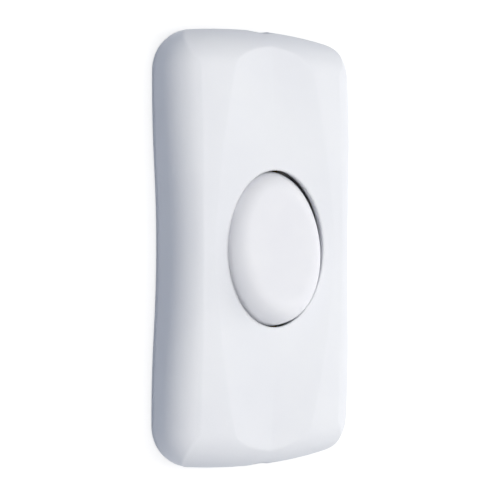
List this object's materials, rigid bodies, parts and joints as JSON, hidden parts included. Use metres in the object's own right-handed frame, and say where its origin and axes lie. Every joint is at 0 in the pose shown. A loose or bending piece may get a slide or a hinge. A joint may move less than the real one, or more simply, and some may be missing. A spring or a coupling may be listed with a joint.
{
  "type": "inline cord switch",
  "caption": "Slim waisted inline switch for a two-core lamp cord, with an oval see-saw rocker in a crowned face and a round cord inlet in each end.",
  "frame": {"origin": "middle of the back face, on the surface that the switch lies on", "axes": "+X across the switch, +Y along the cord towards the end whose rocker half is pressed, +Z out of the front face"},
  "size_m": [0.0412, 0.084, 0.0157],
  "materials": {
    "housing_plastic": "satin moulded, very fine texture",
    "rocker_plastic": "satin moulded",
    "nylon": "natural moulded",
    "spring_steel": "drawn wire",
    "copper_alloy": "rolled strip",
    "contact_silver": "headed rivet",
    "terminal_brass": "machined and stamped",
    "screw_steel": "zinc plated"
  },
  "bodies": {
    "housing": {"cover": "housing_plastic", "base": "housing_plastic", "cover_screws": "screw_steel", "live_feed_terminal": "terminal_brass", "neutral_feed_terminal": "terminal_brass", "live_load_terminal": "terminal_brass", "neutral_load_terminal": "terminal_brass", "live_fixed_contact": "contact_silver", "neutral_fixed_contact": "contact_silver", "terminal_screws": "screw_steel", "clamp_screws": "screw_steel", "cord_clamp_top": "nylon", "cord_clamp_bottom": "nylon"},
    "rocker": {"rocker": "rocker_plastic", "live_spring": "spring_steel", "neutral_spring": "spring_steel"},
    "live_blade": {"live_blade": "copper_alloy", "live_moving_contact": "contact_silver"},
    "neutral_blade": {"neutral_blade": "copper_alloy", "neutral_moving_contact": "contact_silver"},
    "live_plunger": {"live_plunger": "nylon"},
    "neutral_plunger": {"neutral_plunger": "nylon"}
  },
  "joints": [
    {"name": "rocker_tilt", "type": "hinge", "parent": "housing", "child": "rocker", "pos_m": [0, 0, 0.0079], "axis": [1, 0, 0], "range_deg": [0, 18]},
    {"name": "live_blade_tilt", "type": "hinge", "parent": "housing", "child": "live_blade", "pos_m": [-0.0046, 0, 0.00444], "axis": [1, 0, 0], "range_deg": [-14, 0]},
    {"name": "neutral_blade_tilt", "type": "hinge", "parent": "housing", "child": "neutral_blade", "pos_m": [0.0046, 0, 0.00444], "axis": [1, 0, 0], "range_deg": [-14, 0]},
    {"name": "live_plunger_slide", "type": "slide", "parent": "rocker", "child": "live_plunger", "axis": [0, 0.1564, 0.9877], "range_m": [0, 0.0008], "stiffness_N_per_m": 200, "springref_m": -0.002, "deforming": ["live_spring"]},
    {"name": "neutral_plunger_slide", "type": "slide", "parent": "rocker", "child": "neutral_plunger", "axis": [0, 0.1564, 0.9877], "range_m": [0, 0.0008], "stiffness_N_per_m": 200, "springref_m": -0.002, "deforming": ["neutral_spring"]}
  ],
  "couplings": [
    {"joint": "live_blade_tilt", "follows": "rocker_tilt", "ratio": -0.7777},
    {"joint": "neutral_blade_tilt", "follows": "rocker_tilt", "ratio": -0.7777}
  ]
}
